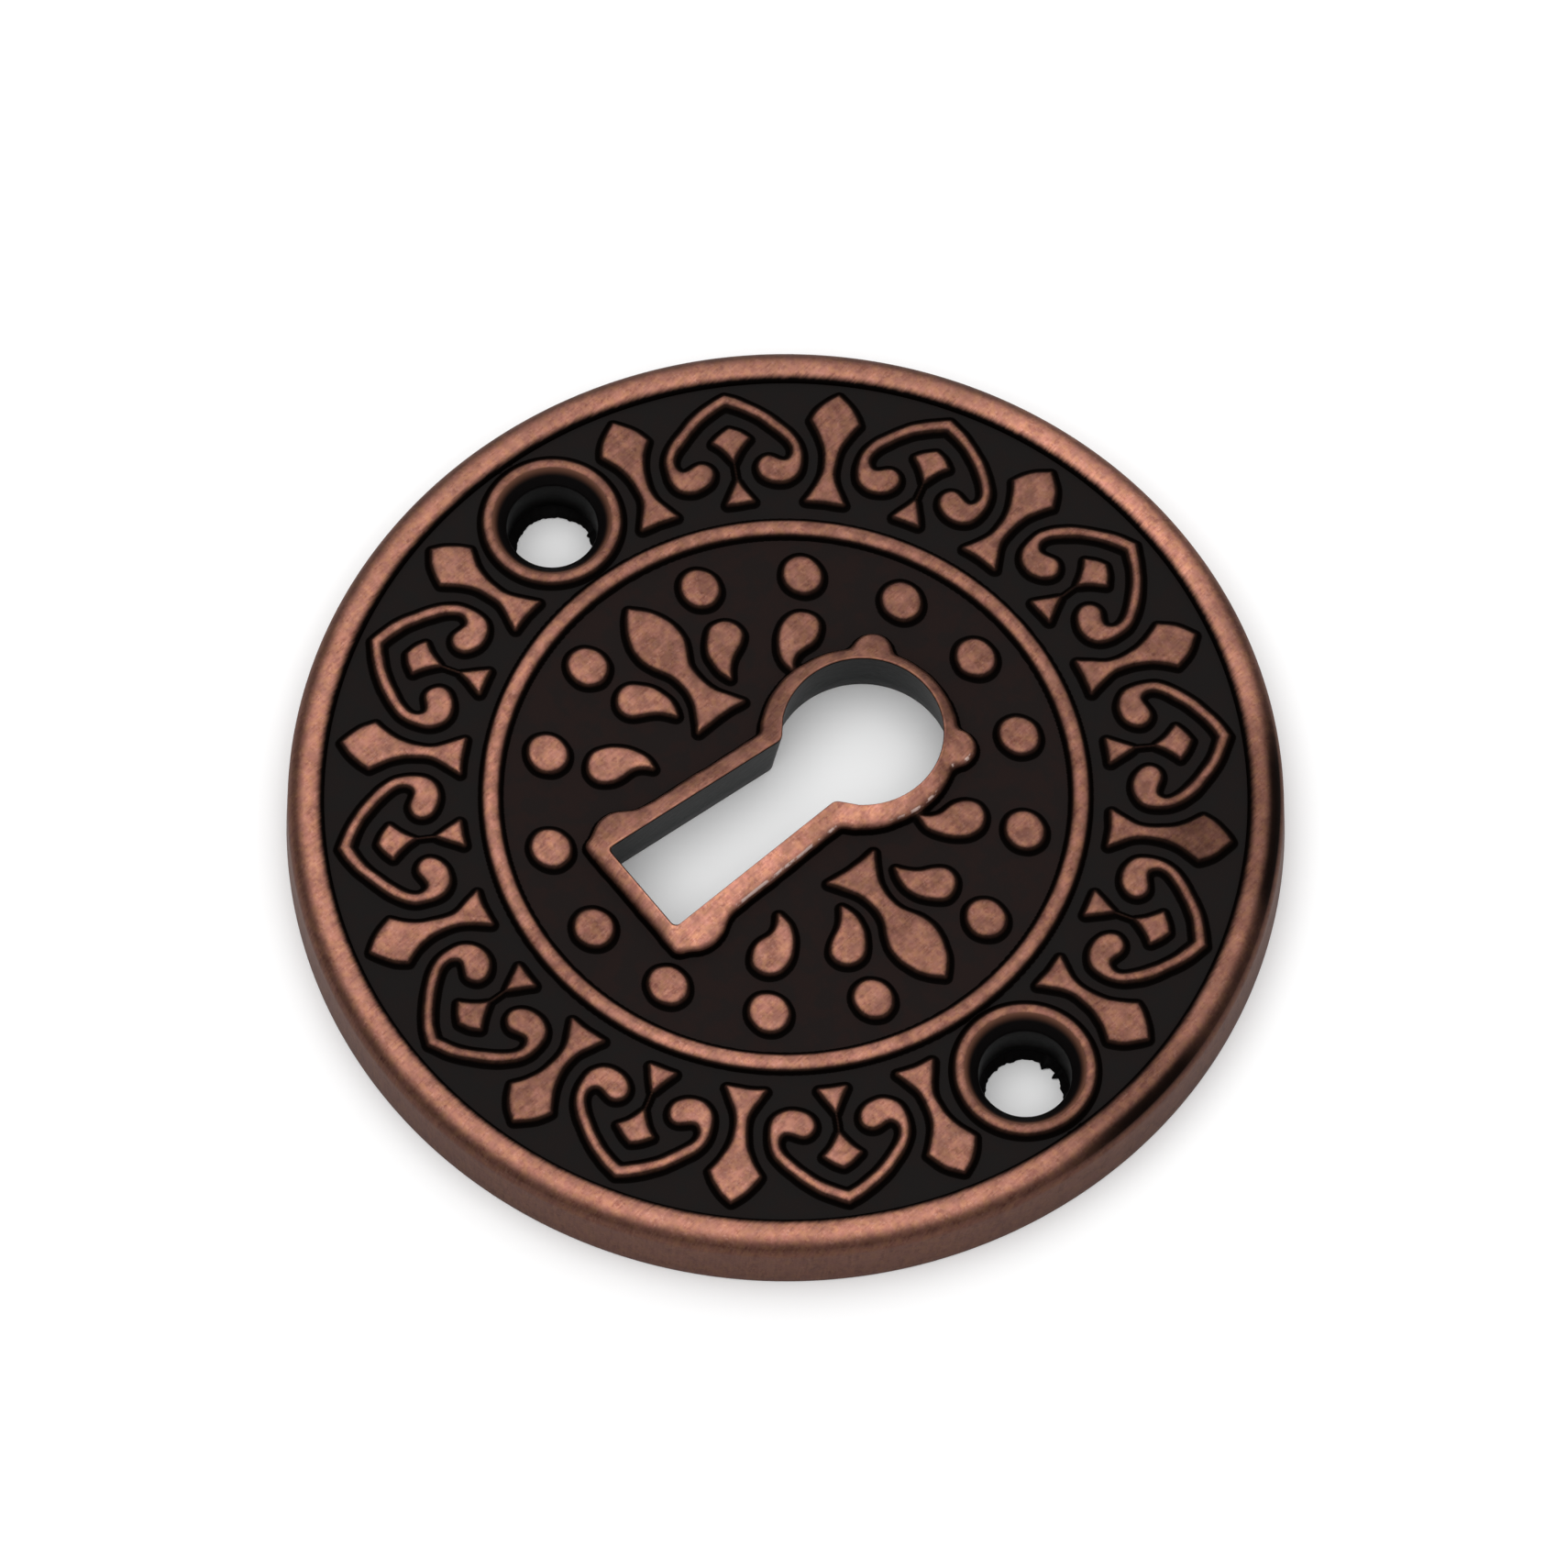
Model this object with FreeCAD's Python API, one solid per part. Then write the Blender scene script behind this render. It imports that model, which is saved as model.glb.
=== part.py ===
import FreeCAD
import Part
import math
import os

# Round keyhole escutcheon, one casting, in millimetres.
# The back lies on Z = 0 and the face looks up. X runs through the two screw holes.
# Y runs along the keyhole, with its round end towards +Y.

# Plate
plate_diameter = 50.0      # at the back, where it is widest
plate_thickness = 3.5      # from the back to the flat tops of the ornament
side_draft = 0.15          # how far the side leans in from the back to the rim
relief_height = 0.4        # ornament tops above the sunk field
relief_slope = 0.28        # how far the sloping side of a raised shape reaches out at its foot

# Rim and inner ring, both rounded
rim_width = 1.85           # from its inner foot to the side of the plate
rim_inner_width = 0.75     # from its inner foot to its crown
rim_step = 0.9             # drop from the crown of the rim to the top of the side
ring_radius = 14.7         # at the top of the bead
ring_width = 1.04          # from foot to foot

# Screw holes, in raised rings halfway between the inner ring and the rim
screw_hole_radius = 2.3
countersink_radius = 2.9   # at the top of the countersink
countersink_depth = 0.7    # below the ornament tops
boss_radius = 3.5          # outside of the raised ring, at the height of the ornament
boss_edge = 0.06           # small rounding drop at both edges of the raised ring

# Keyhole, at its raised lip
lip_height = 0.65          # above the ornament tops
key_round_radius = 4.03
key_round_y = 4.87         # centre of the round end
key_neck_angle = 41.0      # how far below the horizontal the round end runs into the neck
key_slot_half_width = 2.2  # beside the plate's centre
key_slot_flare = 0.055     # widening of each side for each millimetre towards the bottom
key_bottom_y = -9.05
key_neck_rounding = 0.5
key_corner_rounding = 0.3
key_wall_draft = 7.0       # degrees, wider towards the back

# Border around the keyhole, sloping down from the lip to a shoulder
shoulder_height = 0.3      # above the ornament tops
border_side_width = 1.0    # from lip to shoulder beside the slot
border_round_width = 0.85  # the same, around the round end
border_round_shift = 0.24  # how much lower the shoulder's round is centred
border_bottom_width = 0.63
border_skirt = 0.38        # how far the skirt below the shoulder reaches out
knob_radius = 0.93         # the two knobs beside the round end
knob_place = (3.36, 8.12)

# Band of hearts and stems
band_turns = 12            # stems, and places for a heart between them
foot_gap = 1.03            # from the inner ring to the tops of the stems' feet
tip_gap = 0.73             # from the stems' tips to the rim
link_half_width = 0.24     # low ridge between a diamond and its triangle
link_height = 0.3

# Field around the keyhole
dot_length = 2.0           # across, along X
dot_height = 1.8           # along Y
dot_gap = 1.11             # from the dots to the inner ring
dot_turns = (0.0, 23.1, 48.0, 72.9)
leaf_tip_gap = 1.42        # from the tip of a side leaf to the inner ring
leaf_foot_x = 5.26         # where the foot of a side leaf starts

# Fineness of the flat facets that follow a curved outline or a rounded section
facet_turn = 0.5           # radians that one facet may turn
facet_sag = 0.03           # how far a facet may lie inside its curve
ring_facets = 4            # across the inner ring
rim_outer_facets = 3       # from the side of the plate to the crown of the rim
rim_inner_facets = 2       # from the rim's inner foot to its crown

# Heights and radii that follow from the sizes above
top_z = plate_thickness
field_z = top_z - relief_height
lip_z = top_z + lip_height
shoulder_z = top_z + shoulder_height
plate_radius = plate_diameter / 2
front_radius = plate_radius - side_draft
band_outer = front_radius - rim_width
rim_crown = band_outer + rim_inner_width
ring_outer = ring_radius + ring_width / 2
ring_inner = ring_radius - ring_width / 2
band_middle = (ring_outer + band_outer) / 2
band_low = ring_outer + foot_gap
band_high = band_outer - tip_gap
ornament_middle = (band_low + band_high) / 2
dot_circle = ring_inner - dot_gap - dot_length / 2

# Right halves of the band's outlines at their tops: across, and distance from the plate's centre.
# Each run of points is one smooth curve, and runs meet in corners.
stem_half = [
    [(0, 22.27), (0.52, 21.84), (0.94, 21.32), (1.2, 20.8)],
    [(1.2, 20.8), (0.7, 20.05), (0.38, 19.3), (0.235, 18.4), (0.28, 17.65), (0.55, 17.0), (0.93, 16.25)],
    [(0.93, 16.25), (0, 16.3)],
]
heart_half = [
    [(0, 22.32), (0.85, 21.9), (1.7, 21.3), (2.45, 20.58), (3.05, 19.83), (3.37, 19.1), (3.38, 18.35),
     (3.1, 17.57), (2.5, 17.21), (1.8, 17.29), (1.3, 17.68), (1.2, 18.25), (1.68, 18.62), (2.2, 18.41),
     (2.66, 18.28), (3.02, 18.65), (2.95, 19.3), (2.55, 19.9), (1.95, 20.58), (1.0, 21.37), (0, 21.88)],
]
diamond_half = [
    [(0, 20.42), (0.5, 20.14), (0.87, 19.8)],
    [(0.87, 19.8), (0.45, 19.38), (0.18, 19.02), (0, 18.72)],
]
triangle_half = [
    [(0, 17.45), (0.64, 16.27)],
    [(0.64, 16.27), (0, 16.27)],
]
drawn_low = 16.27          # the height range that the outlines above are drawn in
drawn_high = 22.27
link_run = (17.3, 18.9)    # from inside the triangle to inside the diamond
drawn_middle = (drawn_low + drawn_high) / 2

# Leaf on the X axis, drawn the same way, and its own drawn range
leaf_half = [
    [(0, 12.76), (0.58, 12.15), (0.98, 11.42), (1.19, 10.6), (1.14, 9.9), (0.9, 9.3), (0.5, 8.5),
     (0.41, 7.7), (0.52, 6.9), (0.93, 6.02), (1.4, 5.26)],
    [(1.4, 5.26), (0.6, 5.33), (0, 5.36)],
]
leaf_drawn_low = 5.26
leaf_drawn_high = 12.76

# Drops in the quarter with positive X and Y, clockwise from the tip of the tail
leaf_drop = [
    [(6.68, 1.72), (7.3, 2.22), (7.62, 2.68), (7.9, 3.25), (8.35, 3.66), (8.95, 3.62), (9.38, 3.2),
     (9.45, 2.7), (9.1, 2.18), (8.5, 1.72), (7.8, 1.52), (7.1, 1.56), (6.68, 1.72)],
]
key_drop = [
    [(5.1, 4.42), (5.5, 4.8), (5.72, 5.35), (5.71, 6.1), (5.95, 6.7), (6.5, 7.08), (7.1, 6.92),
     (7.5, 6.35), (7.4, 5.65), (7.0, 5.08), (6.45, 4.65), (5.8, 4.38), (5.1, 4.42)],
]

# Swelling of the border beside the bottom corners of the slot
heel_half = [
    [(3.3, -5.9), (3.72, -6.68), (4.14, -7.28), (4.31, -8.0), (4.18, -8.6), (3.6, -9.4)],
    [(3.6, -9.4), (3.0, -8.6)],
    [(3.0, -8.6), (3.3, -5.9)],
]


def at(point, z):
    return FreeCAD.Vector(point[0], point[1], z)


def mirrored_runs(half):
    """Adds the left half to runs that go clockwise from a top point on the axis to a bottom one."""
    other = [[(-x, y) for x, y in reversed(run)] for run in reversed(half)]
    return half + other


def stretched(runs, drawn, wanted):
    """Moves the second coordinate from its drawn range to the wanted one."""
    scale = (wanted[1] - wanted[0]) / (drawn[1] - drawn[0])
    return [[(x, wanted[0] + (y - drawn[0]) * scale) for x, y in run] for run in runs]


def band_scale():
    """How much larger the band's ornament is than drawn, so that it fits the band's width and its length."""
    return min((band_high - band_low) / (drawn_high - drawn_low), ornament_middle / drawn_middle)


def in_band(point):
    """A point of the band's outlines, moved and scaled from where it is drawn to its place."""
    return (point[0] * band_scale(), ornament_middle + (point[1] - drawn_middle) * band_scale())


def outline(runs):
    """Corner points of the facets that follow a closed outline of smooth runs."""
    points = []
    for run in runs:
        if len(run) > 2:
            curve = Part.BSplineCurve()
            curve.interpolate([at(point, 0) for point in run])
            run = [(v.x, v.y) for v in curve.toShape().discretize(Angular=facet_turn, Curvature=facet_sag)]
        points += run[:-1]
    return points


def spread(points, distance):
    """Moves the sides of a clockwise outline outwards, with mitred corners."""
    vectors = [at(point, 0) for point in points]
    following = vectors[1:] + vectors[:1]
    sides = [(b - a).normalize() for a, b in zip(vectors, following)]
    normals = [FreeCAD.Vector(-side.y, side.x, 0) for side in sides]
    result = []
    for index, vector in enumerate(vectors):
        before, after = normals[index - 1], normals[index]
        corner = vector + (before + after) * (distance / (1 + before.dot(after)))
        result.append((corner.x, corner.y))
    return result


def flat_face(vectors):
    return Part.Face(Part.makePolygon(vectors + vectors[:1]))


def raised(runs, slope=relief_slope, height=relief_height):
    """A raised shape with sloping flat sides: the runs outline its top, and its foot is on the field."""
    points = outline(runs)
    top = [at(point, field_z + height) for point in points]
    foot = [at(point, field_z) for point in spread(points, slope)]
    faces = [flat_face(top), flat_face(foot)]
    for index in range(len(top)):
        faces.append(flat_face([foot[index - 1], foot[index], top[index], top[index - 1]]))
    shell = Part.makeShell(faces)
    shell.sewShape()
    solid = Part.makeSolid(shell)
    if solid.Volume < 0:
        solid.reverse()
    return solid


def loft(wires):
    return Part.makeLoft(wires, True, True)


def turned(shape, degrees):
    copy = shape.copy()
    copy.rotate(FreeCAD.Vector(0, 0, 0), FreeCAD.Vector(0, 0, 1), degrees)
    return copy


def four_ways(shape):
    """The shape and its mirror images in the other three quarters."""
    across = shape.mirror(FreeCAD.Vector(0, 0, 0), FreeCAD.Vector(1, 0, 0))
    pair = [shape, across]
    return pair + [s.mirror(FreeCAD.Vector(0, 0, 0), FreeCAD.Vector(0, 1, 0)) for s in pair]


def turned_section(corners, x=0.0):
    """Revolves a closed section of radius and height about a vertical axis at x."""
    section = flat_face([FreeCAD.Vector(x + radius, 0, z) for radius, z in corners])
    return section.revolve(FreeCAD.Vector(x, 0, 0), FreeCAD.Vector(0, 0, 1), 360)


def ring_section():
    """Facet corners of the inner ring's section, from its outer foot over the top to its inner foot."""
    outer = FreeCAD.Vector(ring_outer, 0, field_z)
    inner = FreeCAD.Vector(ring_inner, 0, field_z)
    arc = Part.Arc(outer, FreeCAD.Vector(ring_radius, 0, top_z), inner)
    return [(v.x, v.z) for v in arc.discretize(Number=ring_facets + 1)]


def quarter_round(foot_radius, foot_z, facets):
    """Facet corners of a quarter ellipse, from an upright foot to the level crown of the rim."""
    turns = [math.pi / 2 * index / facets for index in range(facets + 1)]
    reach = foot_radius - rim_crown
    rise = top_z - foot_z
    return [(rim_crown + reach * math.cos(turn), foot_z + rise * math.sin(turn)) for turn in turns]


def plate():
    """The plate with its sunk fields, its inner ring and its rim, turned about the middle."""
    corners = [(0, 0), (plate_radius, 0)]
    corners += quarter_round(front_radius, top_z - rim_step, rim_outer_facets)
    corners += quarter_round(band_outer, field_z, rim_inner_facets)[-2::-1]
    corners += ring_section()
    corners.append((0, field_z))
    return turned_section(corners)


def screw_boss(x):
    corners = [
        (0, field_z),
        (boss_radius + relief_slope, field_z),
        (boss_radius, top_z - boss_edge),
        (boss_radius - boss_edge, top_z),
        (0, top_z),
    ]
    return turned_section(corners, x)


def screw_bore(x):
    above = top_z + relief_height
    corners = [
        (0, -relief_height),
        (screw_hole_radius, -relief_height),
        (screw_hole_radius, top_z - countersink_depth),
        (countersink_radius, top_z - boss_edge),
        (countersink_radius + boss_edge, top_z),
        (countersink_radius + boss_edge, above),
        (0, above),
    ]
    return turned_section(corners, x)


def dot(turn, side):
    """One dot of the circle around the keyhole: turn in degrees from +Y or, for side -1, from -Y."""
    angle = math.radians(turn)
    centre = (dot_circle * math.sin(angle), side * dot_circle * math.cos(angle))
    quarters = []
    for start in (90, 0, -90, -180):
        bow = [math.radians(start - share * 90) for share in (0, 1 / 3, 2 / 3, 1)]
        quarters.append([(centre[0] + dot_length / 2 * math.cos(a), centre[1] + dot_height / 2 * math.sin(a))
                         for a in bow])
    return raised(quarters)


def dots():
    shapes = []
    for side in (1, -1):
        for turn in dot_turns:
            shapes.append(dot(turn, side))
            if turn:
                shapes.append(dot(-turn, side))
    return shapes


def link():
    """Low roof-shaped ridge that joins a diamond to its triangle."""
    low = in_band((0, link_run[0]))[1]
    high = in_band((0, link_run[1]))[1]
    half_width = link_half_width * band_scale()
    section = [(-half_width, field_z), (half_width, field_z), (0, field_z + link_height)]
    face = flat_face([FreeCAD.Vector(x, low, z) for x, z in section])
    return face.extrude(FreeCAD.Vector(0, high - low, 0))


def band_shape(half):
    runs = [[in_band(point) for point in run] for run in mirrored_runs(half)]
    return raised(runs, relief_slope * band_scale())


def band():
    """Stems all round, and a heart with its diamond and triangle between them, not at the screws."""
    stem = band_shape(stem_half)
    motif = [band_shape(heart_half), band_shape(diamond_half), link(), band_shape(triangle_half)]
    step = 360 / band_turns
    shapes = []
    for index in range(band_turns):
        turn = index * step
        shapes.append(turned(stem, turn + step / 2))
        at_screw = abs(math.sin(math.radians(turn))) > 0.99
        if not at_screw:
            shapes += [turned(shape, turn) for shape in motif]
    return shapes


def side_leaves():
    """The leaf beside the keyhole, drawn upwards and turned to +X and to -X."""
    wanted = (leaf_foot_x, ring_inner - leaf_tip_gap)
    leaf = raised(mirrored_runs(stretched(leaf_half, (leaf_drawn_low, leaf_drawn_high), wanted)))
    return [turned(leaf, -90), turned(leaf, 90)]


def rounded_path(points, radii, z):
    """Straight edges through the points, with an arc of the given radius at each inner one."""
    edges = []
    start = at(points[0], z)
    for index, radius in enumerate(radii):
        corner = at(points[index + 1], z)
        back = (at(points[index], z) - corner).normalize()
        ahead = (at(points[index + 2], z) - corner).normalize()
        half_angle = back.getAngle(ahead) / 2
        reach = radius / math.tan(half_angle)
        middle = (back + ahead).normalize() * (radius / math.sin(half_angle) - radius)
        first = corner + back * reach
        last = corner + ahead * reach
        edges.append(Part.makeLine(start, first))
        edges.append(Part.Arc(first, corner + middle, last).toShape())
        start = last
    edges.append(Part.makeLine(start, at(points[-1], z)))
    return edges


def keyhole_wire(z, sides, round_width, bottom_width, round_shift=0.0):
    """Outline of the keyhole at a height, spread outwards by its own width on each stretch."""
    radius = key_round_radius + round_width
    centre_y = key_round_y - round_shift
    angle = math.radians(key_neck_angle)
    tangent = (radius * math.cos(angle), centre_y - radius * math.sin(angle))
    bottom_y = key_bottom_y - bottom_width
    bottom_x = key_slot_half_width + sides - key_slot_flare * bottom_y
    # The neck is where the line that leaves the round end meets the side of the slot.
    centre_x = key_slot_half_width + sides
    slope = math.cos(angle) / math.sin(angle)
    neck_y = (centre_x - tangent[0] + slope * tangent[1]) / (slope + key_slot_flare)
    neck_x = centre_x - key_slot_flare * neck_y
    right = [tangent, (neck_x, neck_y), (bottom_x, bottom_y)]
    left = [(-x, y) for x, y in reversed(right)]
    radii = [key_neck_rounding, key_corner_rounding, key_corner_rounding, key_neck_rounding]
    edges = rounded_path(right + left, radii, z)
    top = (0, centre_y + radius)
    edges.append(Part.Arc(at(left[-1], z), at(top, z), at(tangent, z)).toShape())
    return Part.Wire(edges)


def border():
    """The raised border: a skirt up to the shoulder, then a slope up to the lip."""
    lip = keyhole_wire(lip_z, 0, 0, 0)
    widths = (border_side_width, border_round_width, border_bottom_width)
    shoulder = keyhole_wire(shoulder_z, *widths, border_round_shift)
    foot = keyhole_wire(field_z, *[width + border_skirt for width in widths], border_round_shift)
    rise = shoulder_z - field_z
    knob = Part.makeCone(knob_radius + border_skirt, knob_radius, rise, at(knob_place, field_z))
    heel = raised(heel_half, border_skirt, rise)
    swellings = [knob, heel]
    swellings += [s.mirror(FreeCAD.Vector(0, 0, 0), FreeCAD.Vector(1, 0, 0)) for s in swellings]
    return [loft([foot, shoulder]), loft([shoulder, lip])] + swellings


def keyhole():
    """The opening, from above the lip to below the back, wider towards the back."""
    lean = math.tan(math.radians(key_wall_draft))
    wires = []
    for z in (-relief_height, lip_z + relief_height):
        grow = (lip_z - z) * lean
        wires.append(keyhole_wire(z, grow, grow, grow))
    return loft(wires)


def escutcheon():
    screws = (band_middle, -band_middle)
    shapes = band() + dots() + side_leaves() + four_ways(raised(leaf_drop)) + four_ways(raised(key_drop))
    shapes += border() + [screw_boss(x) for x in screws]
    whole = plate().fuse(shapes)
    whole = whole.cut([keyhole()] + [screw_bore(x) for x in screws])
    return whole.removeSplitter()


def main():
    os.makedirs("parts", exist_ok=True)
    shape = escutcheon()
    solids = shape.Solids
    print("solids", len(solids), "valid", shape.isValid(), "volume", round(shape.Volume, 2))
    box = shape.optimalBoundingBox()
    print("box", [round(v, 3) for v in (box.XMin, box.YMin, box.ZMin, box.XMax, box.YMax, box.ZMax)])
    solids[0].exportStep("parts/escutcheon.step")


main()
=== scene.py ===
import bpy
import math
import numpy as np
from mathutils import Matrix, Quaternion, Vector
from mathutils.geometry import tessellate_polygon
from types import SimpleNamespace


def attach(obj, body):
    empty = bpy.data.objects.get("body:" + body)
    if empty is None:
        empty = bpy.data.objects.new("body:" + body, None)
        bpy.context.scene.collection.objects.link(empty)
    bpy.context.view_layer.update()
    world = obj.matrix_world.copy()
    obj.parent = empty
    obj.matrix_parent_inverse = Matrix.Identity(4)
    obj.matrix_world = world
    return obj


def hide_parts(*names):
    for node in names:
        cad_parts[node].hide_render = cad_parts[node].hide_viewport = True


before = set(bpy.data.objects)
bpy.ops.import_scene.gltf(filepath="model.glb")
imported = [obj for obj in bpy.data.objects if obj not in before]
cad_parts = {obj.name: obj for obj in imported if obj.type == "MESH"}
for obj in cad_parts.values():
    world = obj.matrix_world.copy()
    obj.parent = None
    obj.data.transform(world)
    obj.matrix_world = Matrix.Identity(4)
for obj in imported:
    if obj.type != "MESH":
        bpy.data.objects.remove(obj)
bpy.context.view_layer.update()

# Sizes in millimetres, as in the CAD part: the back is Z = 0 and the keyhole's round end is towards +Y
MM = 0.001
TOP_Z = 3.5
FIELD_Z = 3.1
LIP_Z = 4.15
SHOULDER_Z = 3.7
RELIEF = TOP_Z - FIELD_Z
SLOPE = 0.35               # how far the side of a raised shape reaches out at its foot
EDGE_ROUNDING = 0.25       # blend between a top and its side
FOOT_ROUNDING = 0.12       # blend between a side and the field
PLATE_RADIUS = 25.0
FRONT_RADIUS = 24.85
RIM_FOOT = 23.0
RIM_CROWN = 23.75
RIM_STEP = 0.9
RIM_COUNT = 480            # points around the rim
BACK_CHAMFER = 0.08
RING_RADIUS = 14.7
RING_HALF = 0.62           # half width of the bead
SCREW_X = 19.11
SCREW_HOLE = 2.3
SCREW_CHAMFER = 0.06       # at the back end of the hole
SCREW_COUNT = 200          # points around a screw hole
BOSS_REACH = 3.84          # where the ring around a screw hole takes over from the face
GRID = 0.09
BAND_STEP = math.radians(30)
LINK = (17.3, 18.9, 0.24, 0.27)  # from, to, half width and height of the ridge under a diamond
WOBBLE = 0.02              # how far the casting's outlines stray from the true ones

# Keyhole and its border
KEY_RADIUS = 4.03
KEY_ROUND_Y = 4.87
KEY_NECK = math.radians(41)
KEY_HALF_WIDTH = 2.2
KEY_FLARE = 0.055          # what each side of the slot moves out by for each millimetre downwards
KEY_BOTTOM_Y = -9.05
KEY_ROUNDINGS = (0.5, 0.3)  # at the neck, and at the slot's bottom corners
WALL_LEAN = math.tan(math.radians(7))
WALL_LEVELS = (3.99, 3.6, 3.0, 2.0, 1.0, 0.1, 0.0)
WALL_TUCK = 0.01           # the wall starts this far inside the lip's edge
WALL_CHAMFER = 0.05
SHOULDER = (1.02, 0.87, 0.65, 0.24)  # width of the border at its sides, round end and bottom, and its shift
SKIRT = 0.26               # how far the steep side reaches out under the shoulder
BORDER_REACH = 2.6         # distances from the border's outlines are measured this far
BORDER_PASSES = 14         # rounds of smoothing of the border's face
LIP_EDGE = 0.09            # where the lip's own rounded strip takes over from the face
LIP_PROFILE = (            # distance out from the keyhole, and height
    (0.2, 4.04), (0.11, 4.103), (0.08, 4.106), (0.05, 4.096), (0.022, 4.064), (0.006, 4.02), (0.01, 3.97),
)
KNOB = (3.36, 8.12)
KNOB_RADIUS = 0.93

# Heights on the rim's side, then radius and height pairs of the ring around a screw hole and of the hole
SIDE_LEVELS = (2.0, 1.2, 0.5, 0.12)
SCREW_RING_PROFILE = (
    (3.98, 3.07), (3.88, 3.096), (3.82, 3.108), (3.74, 3.16), (3.64, 3.26), (3.54, 3.36), (3.46, 3.425),
    (3.38, 3.465), (3.30, 3.49), (3.22, 3.5), (3.14, 3.496), (3.06, 3.478), (3.0, 3.45),
)
SCREW_BORE_PROFILE = (
    (3.01, 3.455), (2.97, 3.425), (2.92, 3.37), (2.87, 3.30), (2.81, 3.23), (2.36, 2.83), (2.31, 2.76),
    (SCREW_HOLE, 2.68), (SCREW_HOLE, 0.08), (SCREW_HOLE + SCREW_CHAMFER, 0.0),
)

# Half outlines of the band's ornament at their tops: across, and distance from the plate's centre
STEM = [
    [(0, 22.27), (0.52, 21.84), (0.94, 21.32), (1.2, 20.8)],
    [(1.2, 20.8), (0.7, 20.05), (0.38, 19.3), (0.235, 18.4), (0.28, 17.65), (0.55, 17.0), (0.93, 16.25)],
    [(0.93, 16.25), (0, 16.3)],
]
HEART = [
    [(0, 22.32), (0.85, 21.9), (1.7, 21.3), (2.45, 20.58), (3.05, 19.83), (3.37, 19.1), (3.38, 18.35),
     (3.1, 17.57), (2.5, 17.21), (1.8, 17.29), (1.3, 17.68), (1.2, 18.25), (1.68, 18.62), (2.2, 18.41),
     (2.66, 18.28), (3.02, 18.65), (2.95, 19.3), (2.55, 19.9), (1.95, 20.58), (1.0, 21.37), (0, 21.88)],
]
DIAMOND = [
    [(0, 20.42), (0.5, 20.14), (0.87, 19.8)],
    [(0.87, 19.8), (0.45, 19.38), (0.18, 19.02), (0, 18.72)],
]
TRIANGLE = [
    [(0, 17.45), (0.64, 16.27)],
    [(0.64, 16.27), (0, 16.27)],
]

# Ornament around the keyhole, in the quarter with positive X and Y. The leaf lies on the X axis.
LEAF = [
    [(12.76, 0), (12.15, 0.58), (11.42, 0.98), (10.6, 1.19), (9.9, 1.14), (9.3, 0.9), (8.5, 0.5),
     (7.7, 0.41), (6.9, 0.52), (6.02, 0.93), (5.26, 1.4)],
    [(5.26, 1.4), (5.33, 0.6), (5.36, 0)],
]
LEAF_DROP = [
    [(6.68, 1.72), (7.3, 2.22), (7.62, 2.68), (7.9, 3.25), (8.35, 3.66), (8.95, 3.62), (9.38, 3.2),
     (9.45, 2.7), (9.1, 2.18), (8.5, 1.72), (7.8, 1.52), (7.1, 1.56), (6.68, 1.72)],
]
KEY_DROP = [
    [(5.1, 4.42), (5.5, 4.8), (5.72, 5.35), (5.71, 6.1), (5.95, 6.7), (6.5, 7.08), (7.1, 6.92),
     (7.5, 6.35), (7.4, 5.65), (7.0, 5.08), (6.45, 4.65), (5.8, 4.38), (5.1, 4.42)],
]
HEEL = [
    [(3.3, -5.9), (3.72, -6.68), (4.14, -7.28), (4.31, -8.0), (4.18, -8.6), (3.6, -9.4)],
    [(3.6, -9.4), (3.0, -8.6)],
    [(3.0, -8.6), (3.3, -5.9)],
]
DOT_TURNS = (0.0, 23.1, 48.0, 72.9)
DOT_CIRCLE = 12.07
DOT_HALF = (1.0, 0.9)

# Casting flash left at the back end of each screw hole: inner radius, then the ragged bits that
# reach inwards, each with its direction in degrees, its depth and its width in degrees
FLASH_RIGHT = (1.93, [(85, 0.26, 5), (109, 0.27, 8), (64, 0.08, 9), (158, 0.10, 9), (187, 0.06, 7)])
FLASH_LEFT = (1.83, [(76, 0.13, 4), (88, -0.2, 26), (57, -0.16, 10)])
FLASH_COUNT = 360
FLASH_ROOT = 0.02          # the flash starts this far inside the hole's wall
FLASH_RIPPLES = ((7, 0.014), (13, 0.012), (29, 0.012), (47, 0.01))  # waves around the hole, and their size
FLASH_PROFILE = (          # share of the way in, and height
    (0.0, 0.55), (0.45, 0.3), (0.92, 0.16), (1.0, 0.11), (0.97, 0.05), (0.4, 0.012), (0.0, 0.01),
)

# Camera, at the photograph's viewing angle
CAMERA_DIRECTION = -38.5
CAMERA_TILT = 25.1
CAMERA_ROLL = 0.46
CAMERA_DISTANCE = 0.5196
CAMERA_LENS = 239.6
CAMERA_SHIFT = (-0.0015, 0.00413)

# Light, in metres and watts. The brighter part of the surroundings has its direction and its height
# above the horizon in degrees.
BACKDROP_DIRECTION = 141.5
BACKDROP_HEIGHT = 32
BACKDROP_GLOW = (1.75, 1.75, 1.75)
HORIZON_GLOW = (0.65, 0.65, 0.66)
ZENITH_GLOW = (1.25, 1.25, 1.25)
SURROUNDINGS_STRENGTH = 0.68
LAMP_DIRECTION = -75
LAMP_REACH = 0.16
LAMP_HEIGHT = 0.9
LAMP_SIZE = 1.2
LAMP_POWER = 4.6
FLOOR_WHITE = (0.95, 0.95, 0.95, 1)
FLOOR_HALF = 4000
FLOOR_Z = -0.02

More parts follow.
